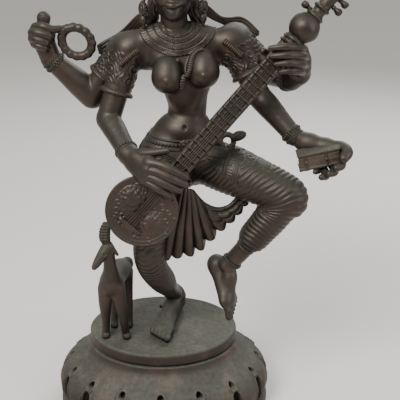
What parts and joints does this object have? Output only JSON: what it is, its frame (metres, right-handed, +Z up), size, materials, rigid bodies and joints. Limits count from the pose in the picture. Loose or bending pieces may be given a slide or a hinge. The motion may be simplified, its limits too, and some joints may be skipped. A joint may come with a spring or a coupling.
{
  "type": "cast bronze statuette",
  "caption": "Cast bronze statuette of a crowned, many-armed dancing musician playing a long-necked lute on an oval lotus pedestal with a small antelope",
  "frame": {"origin": "centre of the pedestal's oval foot, on the plane it stands on", "axes": "+Z up through the crown, -Y the way the figure faces, +X towards its left hand side (the lute's upper end)"},
  "size_m": [0.2935, 0.1816, 0.5084],
  "materials": {
    "bronze_figure": "dark brown patinated cast bronze, rubbed brighter on the high places",
    "bronze_base": "dark cast bronze with a greenish-grey film on the upper faces and red-brown hollows",
    "steel": "plain zinc-plated steel"
  },
  "bodies": {
    "root": {"foot_ring": "bronze_base", "pedestal_drum": "bronze_base", "pedestal_skirt": "bronze_base", "lotus_petals": "bronze_base", "plinth": "bronze_base", "figure_stud": "steel", "stud_washer": "steel", "stud_nut": "steel", "antelope_body": "bronze_figure", "antelope_head": "bronze_figure", "antelope_legs": "bronze_figure", "standing_thigh": "bronze_figure", "standing_shin": "bronze_figure", "standing_foot": "bronze_figure", "raised_thigh": "bronze_figure", "raised_shin": "bronze_figure", "raised_foot": "bronze_figure", "hips": "bronze_figure", "girdle": "bronze_figure", "hip_knot": "bronze_figure", "sash_pleats": "bronze_figure", "sash_swag": "bronze_figure", "torso": "bronze_figure", "necklace": "bronze_figure", "neck": "bronze_figure", "head": "bronze_figure", "hair_bun": "bronze_figure", "crown": "bronze_figure", "earrings": "bronze_figure", "shoulder_ribbons": "bronze_figure", "playing_upper_arm": "bronze_figure", "playing_forearm": "bronze_figure", "playing_hand": "bronze_figure", "beads_upper_arm": "bronze_figure", "beads_forearm": "bronze_figure", "beads_hand": "bronze_figure", "book_upper_arm": "bronze_figure", "book_forearm": "bronze_figure", "book_hand": "bronze_figure", "lute_arm_upper_arm": "bronze_figure", "lute_arm_forearm": "bronze_figure", "lute_arm_hand": "bronze_figure", "armlets": "bronze_figure", "bracelets": "bronze_figure", "anklets": "bronze_figure", "lute_bowl": "bronze_figure", "lute_soundboard": "bronze_figure", "lute_bridge": "bronze_figure", "lute_neck": "bronze_figure", "lute_frets": "bronze_figure", "lute_strings": "bronze_figure", "lute_gourd": "bronze_figure", "lute_peghead": "bronze_figure", "lute_pegs": "bronze_figure", "prayer_beads": "bronze_figure", "palm_leaf_book": "bronze_figure"}
  },
  "joints": []
}
